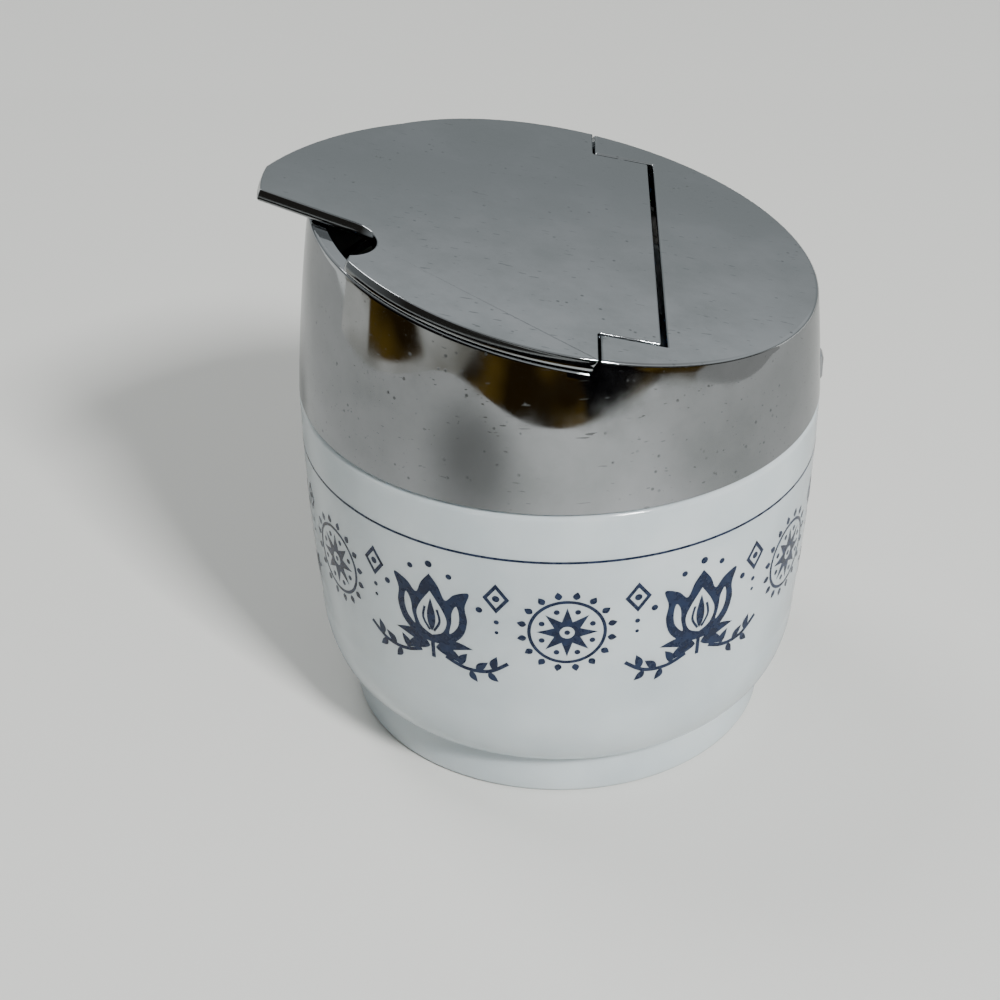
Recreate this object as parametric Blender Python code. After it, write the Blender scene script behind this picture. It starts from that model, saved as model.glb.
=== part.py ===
"""Sugar dispenser: a footed opal-glass jar under a slanted, plated screw lid with a hinged flap.

Metres, +Z up. The origin is on the surface that the foot stands on, under the middle of the whole
dispenser, lip included. The flap's lip points to -X and the hinge line runs along Y.
"""
import math

import bmesh
import bpy
from mathutils import Matrix, Vector

# Jar: a pressed glass tumbler with a foot ring, a square shoulder and a threaded neck
body_radius = 0.0421
body_taper = 0.0017
body_waist_height = 0.0202
foot_inset = 0.0070
foot_flare = 0.0008
foot_height = 0.0072
foot_edge_round = 0.0008
foot_ring_width = 0.0029
foot_recess_depth = 0.0025
foot_recess_slope = 0.0009
base_dome = 0.0006
base_thickness = 0.0058
floor_turn_width = 0.0080
glass_wall = 0.0034
shoulder_height = 0.0585
shoulder_round = 0.0012
shoulder_thickness = 0.0030
shoulder_inner_drop = 0.0050
neck_wall = 0.0032
neck_height = 0.0092
neck_lip_round = 0.0008

# Thread: one helix shared by the neck and the collar
thread_lead = 0.0040
thread_height = 0.0013
thread_root_width = 0.0020
thread_crest_width = 0.0008
thread_clearance = 0.0004
thread_flank_gap = 0.0003
thread_sink = 0.0004
thread_first_height = 0.0031
neck_thread_start_deg = 0.0
neck_thread_end_deg = 400.0
collar_thread_start_deg = 100.0
collar_thread_end_deg = 370.0
thread_fade_deg = 20.0
thread_fade_share = 0.25

# Lid shell: a plated barrel cut off on a slant, with a deck at the back and two hinge ears
seat_gap = 0.0003
lid_taper = 0.0588
lid_bow = 0.3817
lid_wall = 0.0022
lid_skirt_wall = 0.0022
lid_back_room = 0.0052
lid_slant_deg = 11.62
lid_edge_round = 0.0005
rim_plug_spread = 0.00003
deck_thickness = 0.0020
deck_front = 0.0160
deck_rib_depth = 0.0052
deck_rib_width = 0.0016
ear_front = 0.0062
ear_front_rake = 0.0013
ear_front_drop = 0.0045
ear_back_step = 0.0004
ear_depth = 0.0049
snap_bead_height = 0.0009
snap_bead_proud = 0.0007
stop_ledge_height = 0.0012
stop_ledge_proud = 0.0016
grip_nub_width = 0.0030
grip_nub_height = 0.0040
grip_nub_proud = 0.0005
grip_nub_sink = 0.0008

# Collar and ring: the plastic thread inside the shell and the soft washer on the glass lip
collar_wall = 0.0023
collar_flange_thickness = 0.0014
collar_flange_width = 0.0041
ring_thickness = 0.0009
ring_width = 0.0039
ring_side_gap = 0.0003

# Hinge: two stub pins on one axis across the lid, a little under its top face
hinge_back = 0.0105
hinge_depth = 0.0020
pin_radius = 0.0010
pin_play = 0.00008
pin_length = 0.0110
pin_end_round = 0.0002
socket_depth = 0.0032
knuckle_radius = 0.00195
knuckle_length = 0.0080
hinge_open_deg = 100.0
stop_lug_gap = 0.0003
stop_lug_near = 0.0034
stop_lug_far = 0.0046
stop_lug_thickness = 0.0020
stop_lug_width = 0.0032
stop_lug_sink = 0.0010

# Flap: a plated plate with a lip, a spoon notch and a hinge tongue
flap_thickness = 0.0019
flap_gap = 0.0004
flap_overhang = 0.0003
ear_width = 0.0106
tongue_back = 0.0150
tongue_corner_round = 0.0005
lip_overhang = 0.0051
lip_tip_half_width = 0.0030
lip_end_bow = 0.0003
lip_corner_side = 0.0058
lip_flank_length = 0.0202
lip_flank_bow = 0.0022
notch_centre_depth = 0.0136
notch_centre_side = 0.0162
notch_radius = 0.0055
notch_slope_deg = 19.0
notch_turn_end_deg = 108.0
notch_mouth_depth = 0.0152

# Resolution and the overrun of every cutter
round_steps = 72
helix_steps_per_turn = 48
pin_steps = 32
overrun = 0.0040

merge_distance = 1e-6
smooth_angle = math.radians(35.0)
edge_solver_rounds = 8
bisection_rounds = 40
wall_rows = 8
edge_round_shares = (0.3, 0.65, 1.0)
body_side_shares = (0.25, 0.5, 0.75, 1.0)
rim_step = math.radians(5.0)
lip_tip_shares = (-0.6, -0.2, 0.2, 0.6, 1.0)
lip_flank_shares = (0.12, 0.3, 0.5, 0.7, 0.88)

# Jar sizes that follow from the others
body_waist_radius = body_radius - body_taper
foot_radius = body_radius - foot_inset
foot_neck_radius = foot_radius - foot_flare
floor_radius = body_waist_radius - glass_wall - floor_turn_width

# Lid, collar and neck sizes, each nested in the one before
lid_radius = body_radius
lid_skirt_radius = lid_radius - lid_skirt_wall
collar_outer_radius = lid_skirt_radius - seat_gap
collar_root_radius = collar_outer_radius - collar_wall
collar_crest_radius = collar_root_radius - thread_height
collar_flange_radius = collar_root_radius - collar_flange_width
ring_outer_radius = collar_root_radius - ring_side_gap
ring_inner_radius = ring_outer_radius - ring_width
neck_radius = collar_crest_radius - thread_clearance
neck_bore_radius = neck_radius - neck_wall

# Thread fit
thread_taper = (thread_root_width - thread_crest_width) / (2.0 * thread_height)
flank_overlap = thread_height - thread_clearance
flank_sum = thread_crest_width + thread_taper * flank_overlap
thread_drop = flank_sum + thread_flank_gap / math.cos(math.atan(thread_taper))

# Heights from the shoulder up to the lid's top
neck_top = shoulder_height + neck_height
ring_bottom = neck_top + seat_gap
flange_bottom = ring_bottom + ring_thickness + seat_gap
collar_top = flange_bottom + collar_flange_thickness
lid_bottom = shoulder_height + seat_gap
collar_bottom = lid_bottom + snap_bead_height + seat_gap
slant = math.radians(lid_slant_deg)
lid_back_rise = lid_radius * math.tan(slant)
lid_top_height = collar_top + lid_back_room + lid_back_rise
lid_stock_height = lid_top_height + lid_back_rise + overrun

# Flap and ears, in the lid's top plane
tongue_half_width = lid_radius - ear_width
lip_reach = lid_radius + lip_overhang
lip_corner_reach = lip_reach - lip_end_bow
lip_flank_start = lip_reach - lip_flank_length
notch_centre_reach = lip_reach - notch_centre_depth
notch_mouth_reach = lip_reach - notch_mouth_depth
rim_level = -(flap_thickness + seat_gap)
ear_rake = ear_front_rake / -rim_level
ear_inner = tongue_half_width + flap_gap

lid_frame = Matrix((
    (-math.cos(slant), 0.0, math.sin(slant), 0.0),
    (0.0, -1.0, 0.0, 0.0),
    (math.sin(slant), 0.0, math.cos(slant), lid_top_height),
    (0.0, 0.0, 0.0, 1.0),
))


def clear_scene():
    for old in list(bpy.data.objects):
        bpy.data.objects.remove(old, do_unlink=True)


def finish(name, colour, roughness, metallic):
    material = bpy.data.materials.new(name)
    material.use_nodes = True
    shader = material.node_tree.nodes["Principled BSDF"]
    shader.inputs["Base Color"].default_value = (*colour, 1.0)
    shader.inputs["Roughness"].default_value = roughness
    shader.inputs["Metallic"].default_value = metallic
    return material


def solid(name, mesh_bm):
    """Turn a bmesh into an object with outward normals."""
    bmesh.ops.recalc_face_normals(mesh_bm, faces=mesh_bm.faces)
    mesh = bpy.data.meshes.new(name)
    mesh_bm.to_mesh(mesh)
    mesh_bm.free()
    made = bpy.data.objects.new(name, mesh)
    bpy.context.collection.objects.link(made)
    return made


def turned(name, outline, steps=round_steps):
    """Spin an outline of (radius, height) points round the Z axis."""
    mesh_bm = bmesh.new()
    points = [mesh_bm.verts.new((radius, 0.0, height)) for radius, height in outline]
    touches_axis = outline[0][0] == 0.0
    edges = [mesh_bm.edges.new(pair) for pair in zip(points, points[1:])]
    if not touches_axis:
        edges.append(mesh_bm.edges.new((points[-1], points[0])))
    bmesh.ops.spin(mesh_bm, geom=points + edges, cent=(0.0, 0.0, 0.0), axis=(0.0, 0.0, 1.0),
                   angle=math.tau, steps=steps, use_merge=True)
    bmesh.ops.remove_doubles(mesh_bm, verts=mesh_bm.verts, dist=merge_distance)
    bmesh.ops.dissolve_degenerate(mesh_bm, dist=merge_distance, edges=mesh_bm.edges)
    return solid(name, mesh_bm)


def prism(name, outline, low, high, place=None):
    """Extrude a closed outline of (x, y) points from low to high along its own z."""
    mesh_bm = bmesh.new()
    bottom = [mesh_bm.verts.new((x, y, low)) for x, y in outline]
    top = [mesh_bm.verts.new((x, y, high)) for x, y in outline]
    mesh_bm.faces.new(bottom)
    mesh_bm.faces.new(top)
    for index, corner in enumerate(bottom):
        after = (index + 1) % len(bottom)
        mesh_bm.faces.new((corner, bottom[after], top[after], top[index]))
    if place is not None:
        bmesh.ops.transform(mesh_bm, matrix=place, verts=mesh_bm.verts)
    return solid(name, mesh_bm)


def arc(centre, radii, start_deg, end_deg, steps):
    """Points along an elliptical arc, both ends included."""
    points = []
    for step in range(steps + 1):
        turn = math.radians(start_deg + (end_deg - start_deg) * step / steps)
        points.append((centre[0] + radii[0] * math.cos(turn), centre[1] + radii[1] * math.sin(turn)))
    return points


def boolean(target, tools, operation):
    """Join or cut a solid with others, which are used up."""
    for tool in tools:
        modifier = target.modifiers.new(operation.lower(), "BOOLEAN")
        modifier.operation = operation
        modifier.solver = "EXACT"
        modifier.object = tool
        evaluated = target.evaluated_get(bpy.context.evaluated_depsgraph_get())
        result = bpy.data.meshes.new_from_object(evaluated)
        target.modifiers.remove(modifier)
        target.data = result
        bpy.data.objects.remove(tool, do_unlink=True)
    mesh_bm = bmesh.new()
    mesh_bm.from_mesh(target.data)
    bmesh.ops.remove_doubles(mesh_bm, verts=mesh_bm.verts, dist=merge_distance)
    mesh_bm.to_mesh(target.data)
    mesh_bm.free()


def dress(piece, name, material):
    piece.name = name
    piece.data.name = name
    piece.data.materials.clear()
    piece.data.materials.append(material)
    piece.data.shade_smooth()
    piece.data.set_sharp_from_angle(angle=smooth_angle)


def across(place_v):
    """Lid-frame matrix that lays a prism's outline in the (u, n) plane and its length along v."""
    return lid_frame @ Matrix((
        (1.0, 0.0, 0.0, 0.0),
        (0.0, 0.0, 1.0, place_v),
        (0.0, 1.0, 0.0, 0.0),
        (0.0, 0.0, 0.0, 1.0),
    ))


def barrel_radius(height):
    """Radius of the lid's tapered, bowed outer wall at a height above the table."""
    rise = height - lid_bottom
    return lid_radius - lid_taper * rise - rise * rise / (2.0 * lid_bow)


def edge_point(turn, level, inset):
    """Radius and height where the outer wall, less an inset, meets a plane parallel to the lid's top."""
    radius = lid_radius
    for _ in range(edge_solver_rounds):
        height = lid_top_height + radius * math.cos(turn) * math.tan(slant) + level / math.cos(slant)
        radius = barrel_radius(height) - inset
    return radius, height


def top_edge(turn, inset):
    """Lid-frame (u, v) of the lid's top outline at a plan angle, set in from the outer wall."""
    radius, _ = edge_point(turn, 0.0, inset)
    return radius * math.cos(turn) / math.cos(slant), radius * math.sin(turn)


def edge_turn(reach, inset, side):
    """Plan angle at which the top outline crosses a line of constant u."""
    low = 0.0
    high = math.pi
    for _ in range(bisection_rounds):
        middle = (low + high) / 2.0
        if top_edge(middle, inset)[0] > reach:
            low = middle
        else:
            high = middle
    return side * (low + high) / 2.0


def jar_outline():
    body_top = shoulder_height - shoulder_round
    foot_wall_top = foot_height - foot_edge_round
    outline = [(0.0, foot_recess_depth + base_dome)]
    recess_radius = foot_radius - foot_edge_round - foot_ring_width
    outline.append((recess_radius - foot_recess_slope, foot_recess_depth))
    outline.append((recess_radius, 0.0))
    outline += arc((foot_radius - foot_edge_round, foot_edge_round), (foot_edge_round, foot_edge_round),
                   -90.0, 0.0, 3)
    outline.append((foot_neck_radius, foot_wall_top))
    turn_radii = (body_waist_radius - foot_neck_radius, body_waist_height - foot_height)
    outline += arc((foot_neck_radius, body_waist_height), turn_radii, -88.0, 0.0, 9)
    outline += body_side(body_waist_radius, body_radius, body_waist_height, body_top)
    outline += arc((body_radius - shoulder_round, body_top), (shoulder_round, shoulder_round), 0.0, 90.0, 3)
    outline.append((neck_radius, shoulder_height))
    lip_outer = (neck_radius - neck_lip_round, neck_top - neck_lip_round)
    outline += arc(lip_outer, (neck_lip_round, neck_lip_round), 0.0, 90.0, 3)
    lip_inner = (neck_bore_radius + neck_lip_round, neck_top - neck_lip_round)
    outline += arc(lip_inner, (neck_lip_round, neck_lip_round), 90.0, 180.0, 3)
    inner_top = shoulder_height - shoulder_thickness
    inner_shoulder = (neck_bore_radius, inner_top - shoulder_inner_drop)
    outline += arc(inner_shoulder, (body_radius - glass_wall - neck_bore_radius, shoulder_inner_drop),
                   90.0, 0.0, 5)
    inner_side = body_side(body_waist_radius - glass_wall, body_radius - glass_wall,
                           body_waist_height, inner_shoulder[1])
    outline += inner_side[:-1][::-1]
    floor_height = foot_recess_depth + base_thickness
    floor_turn = (body_waist_radius - glass_wall - floor_radius, body_waist_height - floor_height)
    outline += arc((floor_radius, body_waist_height), floor_turn, 0.0, -90.0, 6)
    outline.append((0.0, floor_height))
    return outline


def body_side(low_radius, high_radius, low, high):
    """The jar's side wall above its waist: a gentle curve that widens upwards."""
    points = []
    for share in body_side_shares:
        widening = share * (2.0 - share)
        points.append((low_radius + (high_radius - low_radius) * widening, low + (high - low) * share))
    return points


def thread_ridge(name, root_radius, outward, start_deg, end_deg, first_height):
    """A trapezoid ridge along a helix, thinned at both ends and sunk into its wall."""
    steps = round((end_deg - start_deg) / 360.0 * helix_steps_per_turn)
    mesh_bm = bmesh.new()
    rings = []
    for step in range(steps + 1):
        turn_deg = start_deg + (end_deg - start_deg) * step / steps
        to_end = min(turn_deg - start_deg, end_deg - turn_deg)
        fade = min(1.0, thread_fade_share + (1.0 - thread_fade_share) * to_end / thread_fade_deg)
        height = first_height + thread_lead * turn_deg / 360.0
        sunk_radius = root_radius - outward * thread_sink
        crest_radius = root_radius + outward * thread_height * fade
        crest_half = thread_crest_width / 2.0
        sunk_half = crest_half + thread_taper * abs(crest_radius - sunk_radius)
        turn = math.radians(turn_deg)
        ring = []
        for radius, offset in ((sunk_radius, -sunk_half), (crest_radius, -crest_half),
                               (crest_radius, crest_half), (sunk_radius, sunk_half)):
            corner = (radius * math.cos(turn), radius * math.sin(turn), height + offset)
            ring.append(mesh_bm.verts.new(corner))
        rings.append(ring)
    for ring, after in zip(rings, rings[1:]):
        for corner in range(4):
            following = (corner + 1) % 4
            mesh_bm.faces.new((ring[corner], ring[following], after[following], after[corner]))
    mesh_bm.faces.new(rings[0])
    mesh_bm.faces.new(rings[-1])
    return solid(name, mesh_bm)


def make_jar(material):
    jar = turned("glass_jar", jar_outline())
    ridge = thread_ridge("neck_thread", neck_radius, 1.0, neck_thread_start_deg, neck_thread_end_deg,
                         shoulder_height + thread_first_height)
    boolean(jar, [ridge], "UNION")
    dress(jar, "glass_jar", material)


def make_ring(material):
    ring = turned("sealing_ring", [
        (ring_inner_radius, ring_bottom),
        (ring_outer_radius, ring_bottom),
        (ring_outer_radius, ring_bottom + ring_thickness),
        (ring_inner_radius, ring_bottom + ring_thickness),
    ])
    dress(ring, "sealing_ring", material)


def make_collar(material):
    collar = turned("thread_collar", [
        (collar_root_radius, collar_bottom),
        (collar_outer_radius, collar_bottom),
        (collar_outer_radius, collar_top),
        (collar_flange_radius, collar_top),
        (collar_flange_radius, flange_bottom),
        (collar_root_radius, flange_bottom),
    ])
    ridge = thread_ridge("collar_thread", collar_root_radius, -1.0, collar_thread_start_deg,
                         collar_thread_end_deg, shoulder_height + thread_first_height - thread_drop)
    boolean(collar, [ridge], "UNION")
    dress(collar, "thread_collar", material)


def barrel_loft(name, level, spread):
    """The lid's bowed barrel, cut off parallel to the top plane at a level, its upper edge rounded."""
    mesh_bm = bmesh.new()
    columns = []
    for step in range(round_steps):
        turn = math.tau * step / round_steps
        corner_radius, corner_height = edge_point(turn, level, 0.0)
        inner_radius, inner_height = edge_point(turn, level, lid_edge_round)
        wall_top = corner_height - lid_edge_round
        column = []
        for row in range(wall_rows + 1):
            height = lid_bottom + (wall_top - lid_bottom) * row / wall_rows
            column.append((barrel_radius(height) + spread, height))
        corner = Vector((corner_radius + spread, corner_height))
        low = Vector(column[-1])
        high = Vector((inner_radius, inner_height))
        for share in edge_round_shares:
            point = low * (1.0 - share) ** 2 + corner * 2.0 * share * (1.0 - share) + high * share ** 2
            column.append((point.x, point.y))
        columns.append([mesh_bm.verts.new((-radius * math.cos(turn), radius * math.sin(turn), height))
                        for radius, height in column])
    for column, after in zip(columns, columns[1:] + columns[:1]):
        for row in range(len(column) - 1):
            mesh_bm.faces.new((column[row], after[row], after[row + 1], column[row + 1]))
    mesh_bm.faces.new([column[0] for column in columns])
    mesh_bm.faces.new([column[-1] for column in columns])
    return solid(name, mesh_bm)


def box_outline(x_low, x_high, y_low, y_high):
    return [(x_low, y_low), (x_high, y_low), (x_high, y_high), (x_low, y_high)]


def ear_outline():
    """Side view (u, n) of an ear: the hinge boss under the deck and its raked front."""
    boss_top = 2.0 * overrun
    boss_bottom = -hinge_depth - ear_depth
    boss_back = -deck_front - deck_rib_width - ear_back_step
    return [
        (boss_back, boss_top),
        (-ear_front - ear_rake * boss_top, boss_top),
        (-ear_front + ear_rake * ear_front_drop, -ear_front_drop),
        (-hinge_back + ear_depth / 2.0, boss_bottom),
        (boss_back, boss_bottom),
    ]


def lid_hollow():
    """The space inside the shell: skirt bore, collar stop and the room under the deck."""
    ledge_bottom = collar_top + seat_gap
    ledge_top = ledge_bottom + stop_ledge_height
    bead_radius = lid_skirt_radius - snap_bead_proud
    ledge_radius = lid_skirt_radius - stop_ledge_proud
    outline = [
        (0.0, lid_bottom - overrun),
        (bead_radius, lid_bottom - overrun),
        (bead_radius, lid_bottom + snap_bead_height),
        (lid_skirt_radius, lid_bottom + snap_bead_height),
        (lid_skirt_radius, ledge_bottom),
        (ledge_radius, ledge_bottom),
        (ledge_radius, ledge_top),
    ]
    for row in range(wall_rows + 1):
        height = ledge_top + (lid_stock_height - ledge_top) * row / wall_rows
        outline.append((min(barrel_radius(height) - lid_wall, lid_skirt_radius), height))
    outline.append((0.0, lid_stock_height))
    hollow = turned("lid_hollow", outline)
    whole_plan = box_outline(-lid_stock_height, lid_stock_height, -lid_stock_height, lid_stock_height)
    above = prism("above_ceiling", whole_plan, -deck_thickness, lid_stock_height, lid_frame)
    boolean(hollow, [above], "DIFFERENCE")
    return hollow


def front_opening():
    """The room in front of the deck that the flap fills, down to the rounded rim of the wall."""
    slot_back = -deck_front - deck_rib_width / 2.0
    outline = box_outline(slot_back, lid_stock_height, rim_level - lid_edge_round - seat_gap, overrun)
    opening = prism("front_opening", outline, -lid_stock_height, lid_stock_height, across(0.0))
    boolean(opening, [barrel_loft("rim_plug", rim_level, rim_plug_spread)], "DIFFERENCE")
    return opening


def lid_cutter():
    """All that is cut from the barrel: the hollow and the front opening, but not the ears and rib."""
    cutter = lid_hollow()
    boolean(cutter, [front_opening()], "UNION")
    ear_outer = lid_stock_height + overrun
    near_ear = prism("near_ear", ear_outline(), ear_inner, ear_outer, across(0.0))
    far_ear = prism("far_ear", ear_outline(), -ear_outer, -ear_inner, across(0.0))
    rib_end = ear_inner + overrun / 2.0
    rib_top = 3.0 * overrun
    rib_outline = box_outline(-deck_front - deck_rib_width, -deck_front, -deck_rib_depth, rib_top)
    rib = prism("deck_rib", rib_outline, -rib_end, rib_end, across(0.0))
    boolean(cutter, [near_ear, far_ear, rib], "DIFFERENCE")
    return cutter


def hinge_cylinder(name, radius, start, end, steps=pin_steps):
    """A cylinder on the hinge axis, from start to end across the lid."""
    outline = arc((-hinge_back, -hinge_depth), (radius, radius), 0.0, 360.0, steps)[:-1]
    return prism(name, outline, start, end, across(0.0))


def stop_lug(side):
    """A lug on an ear's inner face that the opened flap's tongue comes to rest on."""
    turn = math.radians(hinge_open_deg)
    outline = []
    for along, down in ((stop_lug_near, stop_lug_gap), (stop_lug_far, stop_lug_gap),
                        (stop_lug_far, stop_lug_gap + stop_lug_thickness),
                        (stop_lug_near, stop_lug_gap + stop_lug_thickness)):
        rest = Vector((-along, hinge_depth - flap_thickness - down))
        opened = Matrix.Rotation(turn, 2) @ rest
        outline.append((opened.x - hinge_back, opened.y - hinge_depth))
    inner = ear_inner - stop_lug_width
    outer = ear_inner + stop_lug_sink
    low, high = sorted((side * inner, side * outer))
    return prism("stop_lug", outline, low, high, across(0.0))


def grip_nub():
    """The small tab on the back of the skirt, at its lower edge."""
    wall = barrel_radius(lid_bottom + grip_nub_height / 2.0)
    half_width = grip_nub_width / 2.0
    outline = box_outline(wall - grip_nub_sink, wall + grip_nub_proud, -half_width, half_width)
    return prism("grip_nub", outline, lid_bottom, lid_bottom + grip_nub_height)


def make_lid_shell(material):
    shell = barrel_loft("lid_shell", 0.0, 0.0)
    boolean(shell, [lid_cutter()], "DIFFERENCE")
    boolean(shell, [stop_lug(1.0), stop_lug(-1.0), grip_nub()], "UNION")
    socket_radius = pin_radius + pin_play
    mouth = ear_inner - overrun / 4.0
    bottom = ear_inner + socket_depth
    near_socket = hinge_cylinder("near_socket", socket_radius, mouth, bottom)
    far_socket = hinge_cylinder("far_socket", socket_radius, -bottom, -mouth)
    boolean(shell, [near_socket, far_socket], "DIFFERENCE")
    dress(shell, "lid_shell", material)


def flap_outline():
    """The flap's plan in the lid's top plane, (u, v) points, starting at the tongue's far corner."""
    corner = tongue_corner_round
    outline = arc((-tongue_back + corner, -tongue_half_width + corner), (corner, corner), 270.0, 180.0, 2)
    outline += arc((-tongue_back + corner, tongue_half_width - corner), (corner, corner), 180.0, 90.0, 2)
    wing_back = -ear_front + flap_gap
    outline.append((wing_back, tongue_half_width))
    near_start = edge_turn(wing_back, -flap_overhang, 1.0)
    near_end = edge_turn(notch_mouth_reach, -flap_overhang, 1.0)
    outline += rim_run(near_start, near_end)
    notch_centre = (notch_centre_reach, notch_centre_side)
    outline += arc(notch_centre, (notch_radius, notch_radius), notch_turn_end_deg, 270.0 - notch_slope_deg, 9)
    outline.append((lip_corner_reach, lip_corner_side))
    outline += lip_tip()
    far_start = edge_turn(lip_flank_start, -flap_overhang, -1.0)
    outline += lip_flank(outline[-1], top_edge(far_start, -flap_overhang))
    far_end = edge_turn(wing_back, -flap_overhang, -1.0)
    outline += rim_run(far_start, far_end)
    outline.append((wing_back, -tongue_half_width))
    return outline


def rim_run(start, end):
    """Points of the rim between two plan angles, both ends included."""
    steps = max(2, math.ceil(abs(end - start) / rim_step))
    return [top_edge(start + (end - start) * step / steps, -flap_overhang) for step in range(steps + 1)]


def lip_tip():
    """The lip's blunt end: a shallow curve from the notch side to the flank."""
    middle = (lip_corner_side - lip_tip_half_width) / 2.0
    half = (lip_corner_side + lip_tip_half_width) / 2.0
    points = []
    for share in lip_tip_shares:
        points.append((lip_reach - lip_end_bow * share * share, middle - half * share))
    return points


def lip_flank(start, end):
    """The lip's long side from the tip to the rim, bowed out a little."""
    along = Vector(end) - Vector(start)
    out = Vector((-along.y, along.x)).normalized()
    if out.x < 0.0:
        out = -out
    points = []
    for share in lip_flank_shares:
        bow = 4.0 * lip_flank_bow * share * (1.0 - share)
        point = Vector(start) + along * share + out * bow
        points.append((point.x, point.y))
    return points


def make_flap(material):
    flap = prism("flap", flap_outline(), -flap_thickness, 0.0, lid_frame)
    face = -ear_front + flap_gap
    rake_outline = [
        (face - overrun, overrun),
        (face - ear_rake * overrun, overrun),
        (face + ear_rake * overrun, -overrun),
        (face - overrun, -overrun),
    ]
    wing_start = tongue_half_width
    near_rake = prism("near_rake", rake_outline, wing_start, lid_stock_height, across(0.0))
    far_rake = prism("far_rake", rake_outline, -lid_stock_height, -wing_start, across(0.0))
    boolean(flap, [near_rake, far_rake], "DIFFERENCE")
    knuckle_start = tongue_half_width - knuckle_length
    near_knuckle = hinge_cylinder("near_knuckle", knuckle_radius, knuckle_start, tongue_half_width)
    far_knuckle = hinge_cylinder("far_knuckle", knuckle_radius, -tongue_half_width, -knuckle_start)
    boolean(flap, [near_knuckle, far_knuckle], "UNION")
    bore_radius = pin_radius + pin_play
    near_bore = hinge_cylinder("near_bore", bore_radius, knuckle_start - overrun, tongue_half_width + overrun)
    far_bore = hinge_cylinder("far_bore", bore_radius, -tongue_half_width - overrun, -knuckle_start + overrun)
    boolean(flap, [near_bore, far_bore], "DIFFERENCE")
    dress(flap, "flap", material)
    return flap


def make_pin(name, side, material):
    """A steel stub pin, pressed through the knuckle from inside and turning in the ear's socket."""
    outer_end = tongue_half_width + flap_gap + socket_depth - seat_gap
    low, high = sorted((side * outer_end, side * (outer_end - pin_length)))
    pin = hinge_cylinder(name, pin_radius, low, high)
    bevel_ends(pin)
    dress(pin, name, material)
    return pin


def bevel_ends(pin):
    mesh_bm = bmesh.new()
    mesh_bm.from_mesh(pin.data)
    rims = [edge for edge in mesh_bm.edges if any(len(face.verts) > 4 for face in edge.link_faces)]
    bmesh.ops.bevel(mesh_bm, geom=rims, offset=pin_end_round, offset_type="OFFSET", segments=1,
                    profile=0.5, affect="EDGES")
    mesh_bm.to_mesh(pin.data)
    mesh_bm.free()


def centre_on_footprint():
    """Slide everything along X until the origin lies under the middle of the whole dispenser."""
    reaches = [corner.co.x for piece in bpy.data.objects for corner in piece.data.vertices]
    shift = Vector((-(min(reaches) + max(reaches)) / 2.0, 0.0, 0.0))
    for piece in bpy.data.objects:
        piece.data.transform(Matrix.Translation(shift))
    return shift


def hang_on_hinge(pieces, shift):
    """Move the origins of the swinging pieces onto the hinge axis."""
    axis_point = lid_frame @ Vector((-hinge_back, 0.0, -hinge_depth)) + shift
    for piece in pieces:
        piece.data.transform(Matrix.Translation(-axis_point))
        piece.location = axis_point


clear_scene()
opal = finish("opal glass", (0.86, 0.90, 0.92), 0.12, 0.0)
plated = finish("chrome plated ABS", (0.78, 0.79, 0.80), 0.08, 1.0)
collar_plastic = finish("white polypropylene", (0.85, 0.85, 0.82), 0.45, 0.0)
ring_foam = finish("polyethylene foam", (0.90, 0.90, 0.88), 0.80, 0.0)
pin_steel = finish("drawn steel", (0.60, 0.60, 0.60), 0.30, 1.0)
make_jar(opal)
make_ring(ring_foam)
make_collar(collar_plastic)
make_lid_shell(plated)
swinging = [
    make_flap(plated),
    make_pin("hinge_pin_near", 1.0, pin_steel),
    make_pin("hinge_pin_far", -1.0, pin_steel),
]
footprint_shift = centre_on_footprint()
hang_on_hinge(swinging, footprint_shift)
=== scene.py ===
"""Looks of a sugar dispenser: an opal-glass jar under a slanted, plated screw lid with a hinged flap.

Lengths are in millimetres about the jar's own axis until place() turns them into the part's metres.
"""
import math

import bmesh
import bpy
from mathutils import Matrix, Vector


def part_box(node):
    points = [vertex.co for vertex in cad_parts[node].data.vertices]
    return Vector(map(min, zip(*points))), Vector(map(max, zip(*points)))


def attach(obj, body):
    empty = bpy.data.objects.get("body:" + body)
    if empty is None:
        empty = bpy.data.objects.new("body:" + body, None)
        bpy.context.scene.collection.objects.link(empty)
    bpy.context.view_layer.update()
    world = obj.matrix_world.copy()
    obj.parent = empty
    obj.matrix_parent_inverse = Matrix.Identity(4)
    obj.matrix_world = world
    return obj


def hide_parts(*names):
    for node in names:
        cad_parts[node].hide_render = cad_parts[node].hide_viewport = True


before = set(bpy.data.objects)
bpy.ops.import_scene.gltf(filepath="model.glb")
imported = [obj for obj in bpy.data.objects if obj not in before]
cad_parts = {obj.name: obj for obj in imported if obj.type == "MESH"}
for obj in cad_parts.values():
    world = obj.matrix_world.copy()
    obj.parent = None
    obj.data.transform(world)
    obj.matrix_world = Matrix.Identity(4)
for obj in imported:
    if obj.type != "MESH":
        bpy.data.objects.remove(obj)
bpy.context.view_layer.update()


# Glass jar
# The real one is a pressed tumbler of opal glass, fire-polished, with a foot ring, a square shoulder
# and a threaded neck. It is turned here from one profile, finer than the solid that it stands for.
jar_low, jar_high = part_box("glass_jar")
jar_axis = (jar_low.x + jar_high.x) / 2.0
millimetre = 0.001
round_steps = 256


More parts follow.
